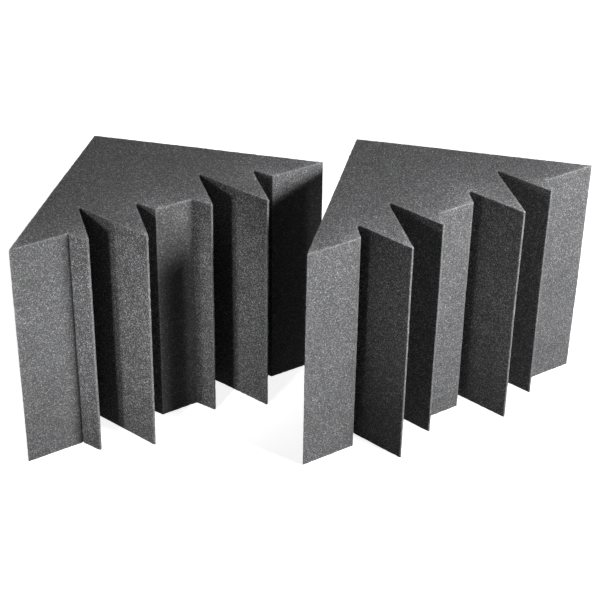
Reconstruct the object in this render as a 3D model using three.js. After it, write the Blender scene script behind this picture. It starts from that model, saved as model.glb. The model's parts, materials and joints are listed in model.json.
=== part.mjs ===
// A pair of corner bass traps, as they stand in the photograph.
// Each trap is a block of grey acoustic foam, cut from a square block of twice its volume.
// Its two wall faces meet in a right angle that goes into the corner of a room, and the cut face
// between their thin ends is a zigzag of fins and notches. The zigzag looks the same when it is
// turned half way round, so the two halves of a square block are one shape, and nest when one of
// them is turned upside down. The left trap stands one way up, and the right trap the other.
// Millimetres, +Z up. The origin is on the floor, in the middle of the pair's box. Both traps'
// wall faces run along X and Y: one faces -X and the other +Y, and the fins face +X and -Y.

import * as THREE from 'three';

// Overall size of one trap
const wallWidth = 304.8; // from the corner to each thin end, twelve inches
const trapHeight = 304.8; // twelve inches

// The zigzag, from the middle of the cut outwards. Runs lie along the straight line between the
// two thin ends, and rises stand square to it.
const middleFlat = 50.8; // flat strip at the middle
const stepRun = 12.7; // short step beside a flat
const stepRise = 25.4;
const backRun = 25.4; // steep side of a tall fin, down to the notch behind it
const frontRun = 38.1; // sloped side, from a deep notch up to a tall fin
const finRise = 50.8; // a tall fin's height, and a deep notch's depth
const tipWidth = 2.5; // blunt edge that the wire leaves at each tip and notch

// How the two stand
const standGap = 28; // from the left trap's end to the right trap's wall face
const setBack = 74; // how far the right trap stands behind the left one

// Finish
const foamGrey = 0x636365;
const foamRoughness = 0.95;
const foamMetalness = 0;

// Directions in the plan of one trap, whose corner is at the origin: along the line between the
// thin ends, and out of the cut face.
const alongCut = new THREE.Vector2(1, 1).normalize();
const outOfCut = new THREE.Vector2(1, -1).normalize();

// The corners of half the zigzag, from the middle to the end of the last step. Each holds its
// place along the cut, its height and whether the wire turned sharply there.
function halfZigzag() {
  const moves = [
    { run: middleFlat / 2, height: 0, sharp: false },
    { run: stepRun, height: stepRise, sharp: true },
    { run: backRun, height: -finRise, sharp: true },
    { run: frontRun, height: finRise, sharp: true },
    { run: backRun, height: -stepRise, sharp: true },
    { run: stepRun, height: 0, sharp: false },
  ];
  let along = 0;
  return moves.map(({ run, height, sharp }) => {
    along += run;
    return { along, height, sharp };
  });
}

// A sharp corner is blunt by the tip width, and any other is one point.
function cornerPoints({ along, height, sharp }) {
  const sides = sharp ? [-tipWidth / 2, tipWidth / 2] : [0];
  return sides.map((side) => new THREE.Vector2(along + side, height));
}

// The whole zigzag: the half, and before it the same half turned round the middle.
function zigzag() {
  const half = halfZigzag().flatMap(cornerPoints);
  const turned = half.map((point) => point.clone().negate()).reverse();
  return [...turned, ...half];
}

// The plan of one trap: its corner, a thin end, the zigzag and the other thin end.
function trapPlan() {
  const middle = new THREE.Vector2(wallWidth, -wallWidth).divideScalar(2);
  const cut = zigzag().map(({ x, y }) =>
    middle.clone().addScaledVector(alongCut, x).addScaledVector(outOfCut, y));
  const corner = new THREE.Vector2(0, 0);
  const frontEnd = new THREE.Vector2(0, -wallWidth);
  const sideEnd = new THREE.Vector2(wallWidth, 0);
  return new THREE.Shape([corner, frontEnd, ...cut, sideEnd]);
}

function foamTrap(name) {
  const settings = { depth: trapHeight, steps: 1, bevelEnabled: false };
  const geometry = new THREE.ExtrudeGeometry(trapPlan(), settings);
  const material = new THREE.MeshStandardMaterial({
    color: foamGrey,
    roughness: foamRoughness,
    metalness: foamMetalness,
  });
  const mesh = new THREE.Mesh(geometry, material);
  mesh.name = name;
  return mesh;
}

const pairWidth = wallWidth + standGap + wallWidth;
const pairDepth = wallWidth + setBack;

const leftTrap = foamTrap('bass_trap_left');
leftTrap.position.set(-pairWidth / 2, pairDepth / 2 - setBack, 0);

// Turned upside down about the line that runs out of its cut face.
const rightTrap = foamTrap('bass_trap_right');
rightTrap.quaternion.setFromAxisAngle(new THREE.Vector3(outOfCut.x, outOfCut.y, 0), Math.PI);
rightTrap.position.set(pairWidth / 2 - wallWidth, pairDepth / 2, trapHeight);

const pair = new THREE.Group();
pair.add(leftTrap, rightTrap);

export default pair;
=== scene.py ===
import json
from math import ceil, pi, radians

import bmesh
import bpy
import numpy as np
from bpy.props import FloatProperty, FloatVectorProperty, IntProperty, PointerProperty
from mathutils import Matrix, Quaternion, Vector, noise
from mathutils.geometry import delaunay_2d_cdt


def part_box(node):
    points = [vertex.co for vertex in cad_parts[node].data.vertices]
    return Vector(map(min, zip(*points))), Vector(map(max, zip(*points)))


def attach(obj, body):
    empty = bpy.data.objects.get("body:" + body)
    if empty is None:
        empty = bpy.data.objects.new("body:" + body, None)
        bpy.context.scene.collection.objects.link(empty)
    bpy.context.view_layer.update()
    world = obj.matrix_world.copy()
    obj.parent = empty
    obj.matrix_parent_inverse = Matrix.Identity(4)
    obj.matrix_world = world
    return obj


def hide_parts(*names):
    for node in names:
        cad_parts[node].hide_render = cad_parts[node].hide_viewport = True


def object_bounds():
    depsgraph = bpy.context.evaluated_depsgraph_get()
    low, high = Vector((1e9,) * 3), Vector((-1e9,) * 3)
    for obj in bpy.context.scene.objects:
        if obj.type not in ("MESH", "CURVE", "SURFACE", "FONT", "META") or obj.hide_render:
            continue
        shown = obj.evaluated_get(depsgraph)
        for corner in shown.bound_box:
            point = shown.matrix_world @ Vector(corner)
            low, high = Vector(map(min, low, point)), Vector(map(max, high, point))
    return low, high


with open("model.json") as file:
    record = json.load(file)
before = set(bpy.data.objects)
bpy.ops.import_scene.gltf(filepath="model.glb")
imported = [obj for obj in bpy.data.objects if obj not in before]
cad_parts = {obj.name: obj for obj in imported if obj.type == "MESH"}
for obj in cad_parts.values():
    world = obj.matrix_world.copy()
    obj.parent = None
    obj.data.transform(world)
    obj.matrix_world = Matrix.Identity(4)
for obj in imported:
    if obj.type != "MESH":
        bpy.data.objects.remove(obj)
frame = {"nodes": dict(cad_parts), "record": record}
cad_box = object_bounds()

bl_info = {
    "name": "Corner Bass Traps",
    "version": (1, 0, 0),
    "blender": (4, 5, 0),
    "location": "View3D > Sidebar > Bass Traps",
    "description": "Cuts two foam corner traps and sets them on a pale floor",
    "category": "Object",
}

MM = 0.001
PIECES = {"foam_trap_left": "bass_trap_left", "foam_trap_right": "bass_trap_right"}
FOAM = frame["record"]["materials"][0]

# Reading a trap's plan from its solid
WELD = 0.01 * MM  # points closer than this are one
FLAT_ANGLE = radians(1)  # faces that turn by less are one
WALL_LENGTH = 0.25  # only the two wall faces are longer
THIN_END_TURN = radians(120)  # only the two thin ends turn by more

# Distances between the mesh's points
ARC_STEP = radians(22)  # round a corner
EDGE_STEPS = 3  # round the top and bottom edges
FINE_STEP = 0.6 * MM  # beside a corner or an edge
STEP_GROWTH = 0.4  # what a step gains for each metre away from there
PROBES = 600  # places at which the wanted step is worked out

# The map of the mesh's surface
MAP_NAME = "OFBake"
STRIP_GAP = 5 * MM  # between the strips of the sides, and beside the ends
END_GAP = 10 * MM  # between the two ends
MAP_EDGE = 0.004  # bare share of the map along its borders

# The unevenness of cut foam: how deep it is, and how wide
WARP_DEPTH = 0.7 * MM
WARP_WIDTH = 130 * MM
RIPPLE_DEPTH = 0.14 * MM  # left by the wire, so nearly even from top to bottom
RIPPLE_WIDTH = 7 * MM
RIPPLE_LENGTH = 220 * MM
LUMP_DEPTH = 0.18 * MM
LUMP_WIDTH = 6 * MM
GRIT_DEPTH = 0.05 * MM

# The wear of the edges: how deep it is, how wide, and how far it reaches from the edge
WEAR_REACH = 1.1 * MM
FRAY_DEPTH = 0.35 * MM
FRAY_WIDTH = 2.2 * MM
FRAY_MEAN = 0.5
BITE_DEPTH = 2.4 * MM
BITE_WIDTH = 8 * MM
BITE_START = 0.42  # level of the noise from which an edge is bitten

# The wire's slot in the hollow corner between an end flat and the short fin beside it
SLOT_DEPTH = 1.6 * MM
SLOT_WIDTH = 0.8 * MM
NO_SLOT = 1.0  # far enough from any slot

# What the material is told of each point, all of it painted light and shade: a highlight along
# the edges, cell shade on the sloped faces, shade deep in the notches, and light on the tops near
# the fin tips
MARKS = ("edge_highlight", "slope_cell_shade", "recess_shade", "tip_light")
# Painted highlight along the edges and fin tips, where the frayed foam catches the light
EDGE_HIGHLIGHT_WIDTH = 0.9 * MM
# Painted light: the tops are made lighter near the fin tips, fading over this reach
TIP_LIGHT_REACH = 30 * MM
END_CELL_SHADE = 0.25  # painted cell shade of the top and bottom, where the sides have 0 to 1
LOOKS = np.radians(np.arange(-80, 81, 10))  # ways in which a point looks for open air
LOOK_START = 0.9 * MM  # nothing nearer than this shuts a point in

# The cells' tone, where 1 is the foam's colour
CELL_MEAN = 1.0
CELL_BALANCE = -0.24  # brings the mean of all that follows back to nothing
STRUT_TONE = 0.3
PIT_TONE = -0.6
FACET_TONE = 1.7
GRAIN_TONE = 1.8
DARKEST_TONE = 0.15
STRUT_WIDTH = 0.16  # share of a cell
FACET_RARITY = 6.0  # power of the chance, so that few facets are bright
GRAIN_DETAIL = 3.0
GRAIN_SHARPNESS = 0.8
GRAIN_HEIGHT = 0.6
NOISE_MEAN = 0.5

# Glints: painted highlights, bright spots added to the colour where a cell would catch the light,
# in a net of wider cells
GLINT_NET = 0.42  # share of the cells' density
GLINT_CORE = 0.16  # radii between which a glint fades, as shares of its cell
GLINT_RIM = 0.34
GLINT_FIRST = 0.88  # chances between which a cell's glint grows
GLINT_FULL = 0.99

# The foam's finish
GRAIN_TURN = (0.61, 0.37, 0.83)  # turns the cells' pattern, so that no face lies along it
BASE_CONTRAST = 1.1
SLOPE_SHADE_CONTRAST = 1.4  # what the most sloped faces add, as painted cell shade where hard light falls on the fins
CLOUD_SIZE = 35 * MM
CLOUD_AMOUNT = 0.13
CLOUD_DETAIL = 4.0
CLOUD_SHARPNESS = 0.6
CLOUD_GAIN = 4.0  # brings the noise's swing up to the amount
# Painted light on the tops near the fin tips
TIP_LIGHT_TONE = 1.2
# Painted shade: how much darker the foam is made where the notches shut a point in
RECESS_SHADE_TONE = -0.5
EDGE_HIGHLIGHT_TONE = 0.55
GLINT_TONE = 3.0
ROUGHNESS = 0.92
GLINT_ROUGHNESS = -0.4  # what a glint adds
SPECULAR = 0.3
BUMP_STRENGTH = 0.5
BUMP_DEPTH = 0.4 * MM

# The floor: how bright the camera sees it without lamps, and how pale it is to other light
FLOOR_GLOW = 0.88
FLOOR_BOUNCE = 0.05
FLOOR_DROP = 0.2 * MM  # how far it lies below the traps
FLOOR_PANELS = 4  # along each side
WHITE = (1, 1, 1, 1)

# Where the spots aim, from the middle of both traps
RIGHT_FRONT = Vector((0.1, -0.05, 0.05))
RIGHT_FINS = Vector((0.26, 0.06, 0.02))
LEFT_FRONT = Vector((-0.2, -0.08, 0.05))
LEFT_END = Vector((-0.26, -0.12, -0.01))

# The camera, from the photograph's perspective
PICTURE_SIDE = 600  # pixels
FOCAL_PIXELS = 1604.6
SENSOR = 36.0  # millimetres, which are the lens's own unit
CAMERA_AT = Vector((0.3346, -1.662, 1.2399))
CAMERA_TURN = radians(11.95)
CAMERA_DIP = radians(32.25)
CAMERA_ROLL = radians(1.06)


class FoamSettings(bpy.types.PropertyGroup):
    grid_step: FloatProperty(
        name="Grid step", description="Distance between mesh points on the flat faces",
        default=3 * MM, min=1 * MM, unit="LENGTH")
    tip_radius: FloatProperty(
        name="Tip radius", description="Rounding of the fins' blunt tips and of the notches",
        default=0.8 * MM, min=0.1 * MM, unit="LENGTH")
    end_radius: FloatProperty(
        name="End radius", description="Rounding of the two thin ends",
        default=0.6 * MM, min=0.1 * MM, unit="LENGTH")
    edge_radius: FloatProperty(
        name="Edge radius", description="Rounding of the top and bottom edges",
        default=0.5 * MM, min=0.1 * MM, unit="LENGTH")
    cell_size: FloatProperty(
        name="Cell size", description="Width of one open cell",
        default=0.9 * MM, min=0.2 * MM, unit="LENGTH")
    colour: FloatVectorProperty(
        name="Foam colour", description="Colour of the foam, averaged over its cells",
        subtype="COLOR", default=FOAM["base_color"][:3], min=0, max=1)
    seed: IntProperty(
        name="Seed", description="Start of the random unevenness", default=7, min=1)


class StageSettings(bpy.types.PropertyGroup):
    floor_colour: FloatVectorProperty(
        name="Floor colour", description="Colour of the pale floor as the camera sees it",
        subtype="COLOR", default=(0.8, 0.8, 0.8), min=0, max=1)
    floor_size: FloatProperty(
        name="Floor size", description="Side of the square floor", default=30, unit="LENGTH")
    sky: FloatProperty(
        name="Sky", description="Strength of the even light from all sides", default=0.015)
    right_lamp: FloatProperty(
        name="Right lamp", description="Power of the big lamp on the right",
        default=23, unit="POWER")
    right_spot: FloatProperty(
        name="Right spot", description="Power of the spot on the right trap",
        default=35, unit="POWER")
    left_spot: FloatProperty(
        name="Left spot", description="Power of the spot on the left trap",
        default=22, unit="POWER")
    end_spot: FloatProperty(
        name="End spot", description="Power of the low spot on the left trap's near end",
        default=32, unit="POWER")
    fin_spot: FloatProperty(
        name="Fin spot", description="Power of the low spot on the right trap's fins",
        default=26, unit="POWER")
    back_lamp: FloatProperty(
        name="Back lamp", description="Power of the big lamp behind on the left",
        default=22, unit="POWER")


def plan_corners(node):
    """The corners of a trap's plan, counter-clockwise, from its solid's base, starting at the
    right-angled corner where the two wall faces meet."""
    solid = bmesh.new()
    solid.from_mesh(node.data)
    bmesh.ops.remove_doubles(solid, verts=solid.verts, dist=WELD)
    bmesh.ops.dissolve_limit(
        solid, angle_limit=FLAT_ANGLE, verts=solid.verts, edges=solid.edges)
    base = min(solid.faces, key=lambda face: face.calc_center_median().z)
    corners = np.array([corner.co.xy for corner in base.verts])
    solid.free()
    following = np.roll(corners, -1, axis=0)
    if np.sum(corners[:, 0] * following[:, 1] - following[:, 0] * corners[:, 1]) < 0:
        corners = corners[::-1]
    before = np.linalg.norm(corners - np.roll(corners, 1, axis=0), axis=1)
    after = np.linalg.norm(np.roll(corners, -1, axis=0) - corners, axis=1)
    start = int(np.argmax((before > WALL_LENGTH) & (after > WALL_LENGTH)))
    return np.roll(corners, -start, axis=0)


def graded(length, fine, coarse):
    """Places along a length, fine at its ends and coarse in its middle."""
    place = np.linspace(0, length, PROBES)
    gap = np.minimum(coarse, fine + STEP_GROWTH * np.minimum(place, length - place))
    density = 1 / gap
    count = np.concatenate([[0], np.cumsum((density[1:] + density[:-1]) / 2 * np.diff(place))])
    steps = max(1, round(count[-1]))
    return np.interp(np.linspace(0, count[-1], steps + 1), count, place)


def rotate(vector, angle):
    """A flat vector, turned counter-clockwise."""
    c, s = np.cos(angle), np.sin(angle)
    return np.array([c * vector[0] - s * vector[1], s * vector[0] + c * vector[1]])


def rounded_corner(before, corner, after, foam):
    """The points of one rounded corner, and how it turns: positive where the foam sticks out."""
    come = (corner - before) / np.linalg.norm(corner - before)
    leave = (after - corner) / np.linalg.norm(after - corner)
    turn = np.arctan2(come[0] * leave[1] - come[1] * leave[0], come @ leave)
    radius = foam.end_radius if turn > THIN_END_TURN else foam.tip_radius
    reach = radius * np.tan(abs(turn) / 2)
    start = corner - come * reach
    centre = start + rotate(come, np.sign(turn) * pi / 2) * radius
    steps = max(2, ceil(abs(turn) / ARC_STEP))
    arc = [centre + rotate(start - centre, turn * i / steps) for i in range(steps + 1)]
    return np.array(arc), turn


def nearest(points, marks):
    """The distance from each point to the nearest mark."""
    return np.min(np.linalg.norm(points[:, None] - marks[None], axis=2), axis=1)


def open_air(points, normals, outline):
    """The share of the air in front of each point of an outline that the outline leaves open."""
    tangents = np.column_stack([-normals[:, 1], normals[:, 0]])
    ends = np.roll(outline, -1, axis=0)
    seen, total = np.zeros(len(points)), 0
    for turn in LOOKS:
        way = normals * np.cos(turn) + tangents * np.sin(turn)
        blocked = np.zeros(len(points), bool)
        for a, side in zip(outline, ends - outline):
            across = way[:, 0] * side[1] - way[:, 1] * side[0]
            gap = a - points
            reach = (gap[:, 0] * side[1] - gap[:, 1] * side[0]) / across
            share = (gap[:, 0] * way[:, 1] - gap[:, 1] * way[:, 0]) / across
            blocked |= (reach > LOOK_START) & (share >= 0) & (share <= 1)
        seen += np.cos(turn) * ~blocked
        total += np.cos(turn)
    return seen / total


class Plan:
    """A trap's plan as a closed chain of points, with what the mesh needs to know of each."""

    def __init__(self, corners, foam):
        count = len(corners)
        arcs = [
            rounded_corner(corners[i - 1], corners[i], corners[(i + 1) % count], foam)
            for i in range(count)
        ]
        points, tips, slots = [], [], []
        self.thin_ends = []
        self.apex = corners[0]
        for i, (arc, turn) in enumerate(arcs):
            beside = max(arcs[i - 1][1], arcs[(i + 1) % count][1])
            if turn > 0:
                tips.append(arc[len(arc) // 2])
            elif beside > THIN_END_TURN:
                slots.append(arc[len(arc) // 2])
            if turn > THIN_END_TURN:
                self.thin_ends.append(len(points) + len(arc) // 2)
            points.extend(arc)
            end, goal = arc[-1], arcs[(i + 1) % count][0][0]
            length = np.linalg.norm(goal - end)
            for place in graded(length, FINE_STEP, foam.grid_step)[1:-1]:
                points.append(end + (goal - end) * place / length)
        self.points = np.array(points)
        ahead = np.roll(self.points, -1, axis=0)
        behind = np.roll(self.points, 1, axis=0)
        tangent = (ahead - behind) / np.linalg.norm(ahead - behind, axis=1)[:, None]
        self.normals = np.stack([tangent[:, 1], -tangent[:, 0]], axis=1)
        self.along = np.concatenate([[0], np.cumsum(np.linalg.norm(ahead - self.points, axis=1))])
        self.to_tip = nearest(self.points, np.array(tips))
        self.to_slot = nearest(self.points, np.array(slots))
        out = self.points[self.thin_ends].mean(axis=0) - self.apex
        # 0 on the flats, and higher the more a face looks along the cut
        self.slope = 1 - abs(self.normals @ out) / np.linalg.norm(out)
        # The first tip is the corner between the wall faces, near which no light is painted on
        # the top.
        self.fins = np.array(tips[1:])
        self.to_fin = nearest(self.points, self.fins)
        # Painted shade: the deeper a point lies in a notch, the darker its foam is made
        self.recess_shade = 1 - open_air(self.points, self.normals, corners)


def edge_rows(height, foam):
    """The rows of the side mesh: height, how far in from the plan, and how far up it faces."""
    radius = foam.edge_radius
    turns = np.linspace(0, pi / 2, EDGE_STEPS + 1)
    rows = [(radius * (1 - np.cos(t)), radius * (1 - np.sin(t)), -np.cos(t)) for t in turns]
    flat = height - 2 * radius
    rows += [(radius + z, 0, 0) for z in graded(flat, FINE_STEP, foam.grid_step)[1:-1]]
    rows += [(height - z, inset, -up) for z, inset, up in reversed(rows[:EDGE_STEPS + 1])]
    return rows


def to_outline(points, outline):
    """The distance from each point to a closed outline, and whether it is inside."""
    distance = np.full(len(points), np.inf)
    inside = np.zeros(len(points), bool)
    for a, b in zip(outline, np.roll(outline, -1, axis=0)):
        side = b - a
        share = np.clip((points - a) @ side / (side @ side), 0, 1)
        gap = np.linalg.norm(points - a - share[:, None] * side, axis=1)
        distance = np.minimum(distance, gap)
        if a[1] != b[1]:
            crosses = (a[1] > points[:, 1]) != (b[1] > points[:, 1])
            inside ^= crosses & (points[:, 0] < a[0] + (points[:, 1] - a[1]) * side[0] / side[1])
    return distance, inside


def end_mesh(outline, foam):
    """A flat mesh inside an outline: inner points and triangles. The outline's own points
    keep their numbers."""
    step = foam.grid_step
    low, high = outline.min(axis=0), outline.max(axis=0)
    rise = step * np.sqrt(3) / 2
    grid = np.array([
        (x + (row % 2) * step / 2, y)
        for row, y in enumerate(np.arange(low[1], high[1], rise))
        for x in np.arange(low[0], high[0], step)
    ])
    distance, inside = to_outline(grid, outline)
    inner = grid[inside & (distance > step / 2)]
    points = [Vector(p) for p in np.concatenate([outline, inner])]
    ring = list(range(len(outline)))
    inside_only, no_margin = 1, 0
    _, _, faces, origins, _, _ = delaunay_2d_cdt(points, [], [ring], inside_only, no_margin)
    number = [origin[0] for origin in origins]
    return inner, [[number[i] for i in face] for face in faces]


def unevenness(points, normals, facts, foam):
    """Where each point of a clean trap lies once the foam has been cut, handled and worn."""
    noise.seed_set(foam.seed)
    random = np.random.default_rng(foam.seed)
    grit = random.uniform(-GRIT_DEPTH, GRIT_DEPTH, len(points))
    moved = np.empty_like(points)
    for i, (point, normal) in enumerate(zip(points, normals)):
        place = Vector(point)
        along, across, to_edge, to_slot = facts[i]
        wire_place = Vector((along / RIPPLE_WIDTH, across / RIPPLE_LENGTH, foam.seed))
        ripple = RIPPLE_DEPTH * noise.noise(wire_place)
        lump = LUMP_DEPTH * noise.noise(place / LUMP_WIDTH)
        wear = np.exp(-to_edge / WEAR_REACH)
        fray = -FRAY_DEPTH * wear * (FRAY_MEAN + noise.noise(place / FRAY_WIDTH))
        bite = -BITE_DEPTH * wear * max(0, noise.noise(place / BITE_WIDTH) - BITE_START)
        slot = -SLOT_DEPTH * np.exp(-((to_slot / SLOT_WIDTH) ** 2))
        warp = WARP_DEPTH * noise.noise_vector(place / WARP_WIDTH)
        out = ripple + lump + grit[i] + fray + bite + slot
        moved[i] = point + normal * out + np.array(warp)
    moved[:, 2] = np.maximum(moved[:, 2], 0)
    return moved


def side_map(plan, climb):
    """The sides' map in metres: the cut along the bottom, and above it the two wall faces."""
    start, end = plan.along[plan.thin_ends]
    total, rise = plan.along[-1], climb[-1] + STRIP_GAP
    behind, ahead = plan.along[:-1], plan.along[1:]
    first, cut = behind < start, (behind >= start) & (behind < end)
    shift = np.where(cut, -start, np.where(first, total - end, -end))
    places = np.empty((len(climb) - 1, len(behind), 4, 2))
    places[..., 0] = np.stack([behind, ahead, ahead, behind], axis=1) + shift[:, None]
    places[..., 1] = np.stack([climb[:-1], climb[:-1], climb[1:], climb[1:]], axis=1)[:, None]
    places[..., 1] += np.where(cut, 0, rise)[:, None]
    return places.reshape(-1, 2)


def end_map(flat, apex, up):
    """An end's map in metres. The bottom is turned half way round and lies beside the top, as
    two traps lie in the square block that they are cut from."""
    low, high = flat.min(axis=0), flat.max(axis=0)
    away = np.sign((low + high) / 2 - apex) * END_GAP
    places = flat if up else low + high - flat + away
    return places - low - np.minimum(away, 0)


class Skin:
    """A trap's clean surface as it is put together: its points, with what the unevenness and
    the material need to know of each, and its faces, with their corners' places on the map."""

    def __init__(self):
        self.points, self.normals, self.facts, self.marks = [], [], [], []
        self.faces, self.places = [], []

    def add_sides(self, plan, rows, climb, foam):
        """Adds the sides, row by row from the bottom edge to the top one."""
        height = rows[-1][0]
        count = len(plan.points)
        for z, inset, up in rows:
            flat = plan.points - plan.normals * inset
            level, sideways = np.full(count, z), np.sqrt(1 - up * up)
            to_edge = np.minimum(plan.to_tip, max(0, min(z, height - z) - foam.edge_radius))
            # Painted light on the rounded top and bottom edges near the fin tips
            tip_light = abs(up) * np.exp(-plan.to_fin / TIP_LIGHT_REACH)
            self.points.append(np.column_stack([flat, level]))
            self.normals.append(np.column_stack([plan.normals * sideways, np.full(count, up)]))
            self.facts.append(np.column_stack([plan.along[:-1], level, to_edge, plan.to_slot]))
            self.marks.append(np.column_stack([
                np.exp(-to_edge / EDGE_HIGHLIGHT_WIDTH), plan.slope, plan.recess_shade, tip_light]))
        for row in range(len(rows) - 1):
            low, high = row * count, (row + 1) * count
            for i in range(count):
                k = (i + 1) % count
                self.faces.append((low + i, low + k, high + k, high + i))
        self.places.append(side_map(plan, climb))

    def add_end(self, ring, rim, inner, triangles, corners, z, up, plan):
        """Adds the top or the bottom: its inner points, and triangles between them and the
        ring of side points that the end meets."""
        start, count = sum(len(part) for part in self.points), len(rim)
        to_rim, _ = to_outline(inner, rim)
        to_slot, slope_cell_shade = np.full(len(inner), NO_SLOT), np.full(len(inner), END_CELL_SHADE)
        recess_shade = np.zeros(len(inner))
        # Painted light on the top and bottom near the fin tips
        tip_light = np.exp(-nearest(inner, plan.fins) / TIP_LIGHT_REACH)
        self.points.append(np.column_stack([inner, np.full(len(inner), z)]))
        self.normals.append(np.tile([0, 0, up], (len(inner), 1)))
        self.facts.append(np.column_stack([inner[:, 1], inner[:, 0], to_rim, to_slot]))
        self.marks.append(np.column_stack([
            np.exp(-to_rim / EDGE_HIGHLIGHT_WIDTH), slope_cell_shade, recess_shade, tip_light]))
        for triangle in triangles:
            face = triangle if up > 0 else triangle[::-1]
            self.faces.append(tuple(ring + i if i < count else start + i - count for i in face))
            self.places.append(corners[face])

    def to_mesh(self, name, foam):
        """The finished mesh, made uneven, with its map and its marks."""
        points, normals, facts = map(np.concatenate, (self.points, self.normals, self.facts))
        mesh = bpy.data.meshes.new(name)
        mesh.from_pydata(unevenness(points, normals, facts, foam).tolist(), [], self.faces)
        mesh.shade_smooth()
        places = np.concatenate(self.places)
        places = MAP_EDGE + (1 - 2 * MAP_EDGE) * places / places.max(axis=0)
        laid = mesh.uv_layers.new(name=MAP_NAME)
        laid.uv.foreach_set("vector", places.astype(np.float32).ravel())
        for mark, values in zip(MARKS, np.concatenate(self.marks).T):
            given = mesh.attributes.new(mark, "FLOAT", "POINT")
            given.data.foreach_set("value", values.astype(np.float32))
        mesh.validate()
        return mesh


def foam_mesh(name, node, foam):
    """The mesh of one trap, as cut from its plan in the frame."""
    low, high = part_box(node)
    height = high[2] - low[2]
    plan = Plan(plan_corners(frame["nodes"][node]), foam)
    rows = edge_rows(height, foam)
    profile = np.array([row[:2] for row in rows])
    climb = np.concatenate([[0], np.cumsum(np.linalg.norm(np.diff(profile, axis=0), axis=1))])
    skin = Skin()
    skin.add_sides(plan, rows, climb, foam)
    start, end = plan.along[plan.thin_ends]
    beside = [plan.along[-1] - end + start + STRIP_GAP, climb[-1] + STRIP_GAP]
    rim = plan.points - plan.normals * foam.edge_radius
    inner, triangles = end_mesh(rim, foam)
    flat = np.concatenate([rim, inner])
    top_ring = (len(rows) - 1) * len(rim)
    for ring, z, up in (0, 0, -1), (top_ring, height, 1):
        corners = end_map(flat, plan.apex, up > 0) + beside
        skin.add_end(ring, rim, inner, triangles, corners, z, up, plan)
    return skin.to_mesh(name, foam)


def add_node(tree, kind, inputs=None, **settings):
    """Adds a node, with values or links for its inputs."""
    node = tree.nodes.new(kind)
    for name, value in settings.items():
        setattr(node, name, value)
    for name, value in (inputs or {}).items():
        if isinstance(value, bpy.types.NodeSocket):
            tree.links.new(value, node.inputs[name])
        else:
            node.inputs[name].default_value = value
    return node


def calculate(tree, operation, *values):
    """The outcome of a Math node with these values or links."""
    return add_node(
        tree, "ShaderNodeMath", dict(enumerate(values)), operation=operation).outputs[0]


def smooth_step(tree, value, low, high, start=0.0, end=1.0):
    """A value that goes softly from start to end while the given one goes from low to high."""
    inputs = {"Value": value, "From Min": low, "From Max": high, "To Min": start, "To Max": end}
    node = add_node(tree, "ShaderNodeMapRange", inputs, interpolation_type="SMOOTHSTEP")
    return node.outputs["Result"]


def new_group(name, inputs, outputs):
    """An empty shader group with named sockets, and its two ends."""
    group = bpy.data.node_groups.new(name, "ShaderNodeTree")
    for kind, sockets in (("INPUT", inputs), ("OUTPUT", outputs)):
        for socket, (form, value) in sockets.items():
            made = group.interface.new_socket(
                name=socket, in_out=kind, socket_type="NodeSocket" + form)
            if value is not None:
                made.default_value = value
    start = group.nodes.new("NodeGroupInput")
    end = group.nodes.new("NodeGroupOutput")
    return group, start.outputs, end.inputs


def foam_cells_group():
    """Open cells in solid foam, cut through by whatever surface wears them: a net of struts,
    pits between them, and here and there a bright facet. Tone averages about 1. Height runs
    from about 0 to about 1, and Glint from 0 to 1."""
    group, given, result = new_group(
        "Foam cells",
        {
            "Vector": ("Vector", None),
            "Cell Size": ("Float", 1 * MM),
            "Contrast": ("Float", 1.0),
        },
        {"Tone": ("Float", None), "Height": ("Float", None), "Glint": ("Float", None)},
    )
    density = calculate(group, "DIVIDE", 1.0, given["Cell Size"])
    cell = add_node(
        group, "ShaderNodeTexVoronoi", {"Vector": given["Vector"], "Scale": density})
    wall = add_node(
        group, "ShaderNodeTexVoronoi", {"Vector": given["Vector"], "Scale": density},
        feature="DISTANCE_TO_EDGE")
    fine = add_node(
        group, "ShaderNodeTexNoise",
        {
            "Vector": given["Vector"],
            "Scale": density,
            "Detail": GRAIN_DETAIL,
            "Roughness": GRAIN_SHARPNESS,
        })
    strut = smooth_step(group, wall.outputs["Distance"], 0.0, STRUT_WIDTH, 1.0, 0.0)
    chance = add_node(group, "ShaderNodeSeparateColor", {"Color": cell.outputs["Color"]}).outputs
    pit = calculate(group, "MULTIPLY", calculate(group, "SUBTRACT", 1.0, strut), chance["Red"])
    bright = calculate(group, "POWER", chance["Green"], FACET_RARITY)
    grain = calculate(group, "SUBTRACT", fine.outputs["Fac"], NOISE_MEAN)
    swing = calculate(group, "MULTIPLY_ADD", strut, STRUT_TONE, CELL_BALANCE)
    swing = calculate(group, "MULTIPLY_ADD", pit, PIT_TONE, swing)
    swing = calculate(group, "MULTIPLY_ADD", bright, FACET_TONE, swing)
    swing = calculate(group, "MULTIPLY_ADD", grain, GRAIN_TONE, swing)
    tone = calculate(group, "MULTIPLY_ADD", swing, given["Contrast"], CELL_MEAN)
    tone = calculate(group, "MAXIMUM", tone, DARKEST_TONE)
    height = calculate(group, "SUBTRACT", 1.0, pit)
    height = calculate(group, "MULTIPLY_ADD", grain, GRAIN_HEIGHT, height)
    wide = add_node(
        group, "ShaderNodeTexVoronoi",
        {"Vector": given["Vector"], "Scale": calculate(group, "MULTIPLY", density, GLINT_NET)})
    lot = add_node(group, "ShaderNodeSeparateColor", {"Color": wide.outputs["Color"]}).outputs
    spot = smooth_step(group, wide.outputs["Distance"], GLINT_CORE, GLINT_RIM, 1.0, 0.0)
    rare = smooth_step(group, lot["Green"], GLINT_FIRST, GLINT_FULL)
    group.links.new(tone, result["Tone"])
    group.links.new(height, result["Height"])
    group.links.new(calculate(group, "MULTIPLY", spot, rare), result["Glint"])
    return group


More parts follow.
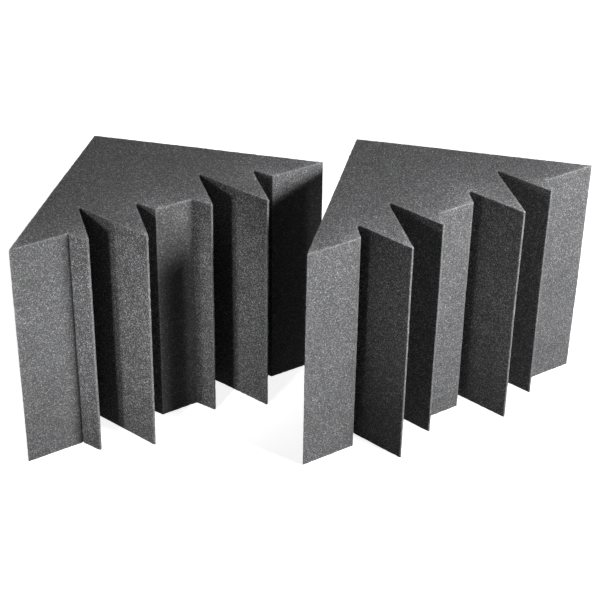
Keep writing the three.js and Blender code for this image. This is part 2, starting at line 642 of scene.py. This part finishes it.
def clouding_group():
    """Soft patches where the foam is denser, dustier or worn by handling, around 1."""
    group, given, result = new_group(
        "Clouding",
        {"Vector": ("Vector", None), "Size": ("Float", 40 * MM), "Amount": ("Float", 0.1)},
        {"Tone": ("Float", None)},
    )
    scale = calculate(group, "DIVIDE", 1.0, given["Size"])
    patch = add_node(
        group, "ShaderNodeTexNoise",
        {
            "Vector": given["Vector"],
            "Scale": scale,
            "Detail": CLOUD_DETAIL,
            "Roughness": CLOUD_SHARPNESS,
        })
    swing = calculate(group, "SUBTRACT", patch.outputs["Fac"], NOISE_MEAN)
    swing = calculate(group, "MULTIPLY", swing, given["Amount"])
    group.links.new(calculate(group, "MULTIPLY_ADD", swing, CLOUD_GAIN, 1.0), result["Tone"])
    return group


def foam_material(foam):
    """Charcoal open-cell foam: matt and speckled cell by cell, with light and shade painted into
    its colour: a highlight along its cut edges, glints, light on the tops near the fin tips,
    shade deep in the notches, and stronger cell shade on the sloped faces.
    """
    material = bpy.data.materials.new("charcoal_foam")
    material.use_nodes = True
    tree = material.node_tree
    tree.nodes.clear()
    upright = add_node(tree, "ShaderNodeTexCoord").outputs["Object"]
    place = add_node(
        tree, "ShaderNodeMapping", {"Vector": upright, "Rotation": GRAIN_TURN}).outputs[0]
    marks = {
        mark: add_node(tree, "ShaderNodeAttribute", attribute_name=mark).outputs["Fac"]
        for mark in MARKS
    }
    # The speckle is the foam's own. Its extra strength on the sloped fin faces is painted shade:
    # the small shadows that hard light throws into the cells.
    contrast = calculate(
        tree, "MULTIPLY_ADD", marks["slope_cell_shade"], SLOPE_SHADE_CONTRAST, BASE_CONTRAST)
    cells = add_node(
        tree, "ShaderNodeGroup",
        {"Vector": place, "Cell Size": foam.cell_size, "Contrast": contrast},
        node_tree=foam_cells_group()).outputs
    clouds = add_node(
        tree, "ShaderNodeGroup", {"Vector": place, "Size": CLOUD_SIZE, "Amount": CLOUD_AMOUNT},
        node_tree=clouding_group()).outputs
    # Painted light: the tops lighter near the fin tips
    wear = calculate(tree, "MULTIPLY_ADD", marks["tip_light"], TIP_LIGHT_TONE, clouds["Tone"])
    # Painted shade: darker deep in the notches, where little open air lies in front
    wear = calculate(tree, "MULTIPLY_ADD", marks["recess_shade"], RECESS_SHADE_TONE, wear)
    tone = calculate(tree, "MULTIPLY", cells["Tone"], wear)
    # Painted highlight: lighter along the edges and fin tips, where the frayed foam catches the
    # light
    tone = calculate(tree, "MULTIPLY_ADD", marks["edge_highlight"], EDGE_HIGHLIGHT_TONE, tone)
    # Painted highlight: glints brighten the colour itself
    tone = calculate(tree, "MULTIPLY_ADD", cells["Glint"], GLINT_TONE, tone)
    colour = add_node(
        tree, "ShaderNodeVectorMath", {0: foam.colour, "Scale": tone},
        operation="SCALE").outputs[0]
    rough = calculate(tree, "MULTIPLY_ADD", cells["Glint"], GLINT_ROUGHNESS, ROUGHNESS)
    bump = add_node(
        tree, "ShaderNodeBump",
        {"Height": cells["Height"], "Strength": BUMP_STRENGTH, "Distance": BUMP_DEPTH})
    surface = add_node(
        tree, "ShaderNodeBsdfPrincipled",
        {
            "Base Color": colour,
            "Roughness": rough,
            "Normal": bump.outputs[0],
            "Specular IOR Level": SPECULAR,
        })
    add_node(tree, "ShaderNodeOutputMaterial", {"Surface": surface.outputs[0]})
    return material


class BASSTRAP_OT_cut_foam(bpy.types.Operator):
    """Cuts both foam traps to the frame's plans and gives them their charcoal foam"""

    bl_idname = "basstrap.cut_foam"
    bl_label = "Cut foam traps"

    def execute(self, context):
        foam = context.scene.basstrap_foam
        material = foam_material(foam)
        for name, node in PIECES.items():
            piece = bpy.data.objects.new(name, foam_mesh(name, node, foam))
            piece.data.materials.append(material)
            context.scene.collection.objects.link(piece)
            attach(piece, "root")
            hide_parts(node)
        return {"FINISHED"}


def camera_rays(tree):
    """1 for what the camera sees itself, in a mirror or through glass, and 0 for other light."""
    path = add_node(tree, "ShaderNodeLightPath").outputs
    seen = calculate(tree, "MAXIMUM", path["Is Camera Ray"], path["Is Glossy Ray"])
    return calculate(tree, "MAXIMUM", seen, path["Is Transmission Ray"])


def light_world(stage):
    """Even light from all sides. Where the camera looks past everything it is as bright as the
    far floor, so that no line shows between them."""
    world = bpy.data.worlds.new("soft_studio")
    world.use_nodes = True
    tree = world.node_tree
    tree.nodes.clear()
    strength = smooth_step(tree, camera_rays(tree), 0, 1, stage.sky, FLOOR_GLOW)
    sky = add_node(tree, "ShaderNodeBackground", {"Color": WHITE, "Strength": strength})
    add_node(tree, "ShaderNodeOutputWorld", {"Surface": sky.outputs[0]})
    return world


def floor_material(stage):
    """Pale and nearly white to the camera, with soft shadows, and greyer to other light."""
    material = bpy.data.materials.new("pale_floor")
    material.use_nodes = True
    tree = material.node_tree
    tree.nodes.clear()
    seen = camera_rays(tree)
    colour = add_node(
        tree, "ShaderNodeMix",
        {"Factor": seen, "A": (FLOOR_BOUNCE,) * 3 + (1,), "B": (*stage.floor_colour, 1)},
        data_type="RGBA")
    matt = add_node(tree, "ShaderNodeBsdfDiffuse", {"Color": colour.outputs["Result"]})
    glow = add_node(
        tree, "ShaderNodeEmission",
        {"Color": WHITE, "Strength": calculate(tree, "MULTIPLY", seen, FLOOR_GLOW)})
    both = add_node(tree, "ShaderNodeAddShader", {0: matt.outputs[0], 1: glow.outputs[0]})
    add_node(tree, "ShaderNodeOutputMaterial", {"Surface": both.outputs[0]})
    return material


def add_floor(stage):
    """The pale floor, a hair below the traps."""
    plane = bmesh.new()
    bmesh.ops.create_grid(
        plane, x_segments=FLOOR_PANELS, y_segments=FLOOR_PANELS, size=stage.floor_size / 2)
    mesh = bpy.data.meshes.new("floor")
    plane.to_mesh(mesh)
    plane.free()
    mesh.materials.append(floor_material(stage))
    floor = bpy.data.objects.new("floor", mesh)
    floor.location.z = -FLOOR_DROP
    return floor


def add_lamp(name, power, aim, turn, lift, distance, radius, cone=None):
    """A round lamp, or a spot if it has a cone. Turn 0 is in front of the traps and 90 degrees
    on their right, and the cone is measured from its middle."""
    lamp = bpy.data.lights.new(name, "SPOT" if cone else "AREA")
    lamp.energy = power
    if cone:
        lamp.shadow_soft_size = radius
        lamp.spot_size = 2 * radians(cone)
        lamp.spot_blend = 1
    else:
        lamp.shape = "DISK"
        lamp.size = 2 * radius
    away = Quaternion((0, 0, 1), radians(turn)) @ (
        Quaternion((1, 0, 0), -radians(lift)) @ Vector((0, -1, 0)))
    place = bpy.data.objects.new(name, lamp)
    place.location = aim + away * distance
    place.rotation_mode = "QUATERNION"
    place.rotation_quaternion = (-away).to_track_quat("-Z", "Y")
    return place


def add_camera():
    """The photograph's camera: level to its left and right but for a slight roll."""
    lens = bpy.data.cameras.new("camera")
    lens.sensor_width = SENSOR
    lens.lens = FOCAL_PIXELS / PICTURE_SIDE * SENSOR
    camera = bpy.data.objects.new("camera", lens)
    camera.location = CAMERA_AT
    look = Quaternion((0, 0, 1), CAMERA_TURN) @ Quaternion((1, 0, 0), pi / 2 - CAMERA_DIP)
    camera.rotation_mode = "QUATERNION"
    camera.rotation_quaternion = look @ Quaternion((0, 0, 1), CAMERA_ROLL)
    return camera


class BASSTRAP_OT_set_stage(bpy.types.Operator):
    """Puts the pale floor, the soft lamps and the photograph's camera round the traps"""

    bl_idname = "basstrap.set_stage"
    bl_label = "Set stage"

    def execute(self, context):
        stage = context.scene.basstrap_stage
        middle = (Vector(cad_box[0]) + Vector(cad_box[1])) / 2
        lamps = [
            add_lamp(
                "right_lamp", stage.right_lamp, middle,
                turn=74, lift=24, distance=1.2, radius=0.22),
            add_lamp(
                "right_spot", stage.right_spot, middle + RIGHT_FRONT,
                turn=70, lift=25, distance=1.4, radius=0.1, cone=11),
            add_lamp(
                "left_spot", stage.left_spot, middle + LEFT_FRONT,
                turn=-9, lift=23, distance=1, radius=0.04, cone=14),
            add_lamp(
                "end_spot", stage.end_spot, middle + LEFT_END,
                turn=-16, lift=10, distance=1, radius=0.06, cone=14),
            add_lamp(
                "fin_spot", stage.fin_spot, middle + RIGHT_FINS,
                turn=-26, lift=14, distance=1.6, radius=0.06, cone=8),
            add_lamp(
                "back_lamp", stage.back_lamp, middle,
                turn=-140, lift=1, distance=1.8, radius=0.22),
        ]
        camera = add_camera()
        for thing in [add_floor(stage), camera, *lamps]:
            context.scene.collection.objects.link(thing)
        context.scene.camera = camera
        context.scene.world = light_world(stage)
        context.scene.view_settings.view_transform = "Standard"
        return {"FINISHED"}


class BASSTRAP_PT_sidebar(bpy.types.Panel):
    bl_label = "Corner Bass Traps"
    bl_space_type = "VIEW_3D"
    bl_region_type = "UI"
    bl_category = "Bass Traps"

    def draw(self, context):
        groups = (
            (context.scene.basstrap_foam, BASSTRAP_OT_cut_foam),
            (context.scene.basstrap_stage, BASSTRAP_OT_set_stage),
        )
        for settings, operator in groups:
            box = self.layout.box()
            for name in settings.bl_rna.properties.keys():
                if name not in ("rna_type", "name"):
                    box.prop(settings, name)
            box.operator(operator.bl_idname)


CLASSES = (
    FoamSettings,
    StageSettings,
    BASSTRAP_OT_cut_foam,
    BASSTRAP_OT_set_stage,
    BASSTRAP_PT_sidebar,
)


def register():
    for made in CLASSES:
        bpy.utils.register_class(made)
    bpy.types.Scene.basstrap_foam = PointerProperty(type=FoamSettings)
    bpy.types.Scene.basstrap_stage = PointerProperty(type=StageSettings)


def unregister():
    del bpy.types.Scene.basstrap_stage
    del bpy.types.Scene.basstrap_foam
    for made in reversed(CLASSES):
        bpy.utils.unregister_class(made)


def main():
    register()
    bpy.ops.basstrap.cut_foam()
    bpy.ops.basstrap.set_stage()


if __name__ == "__main__":
    main()
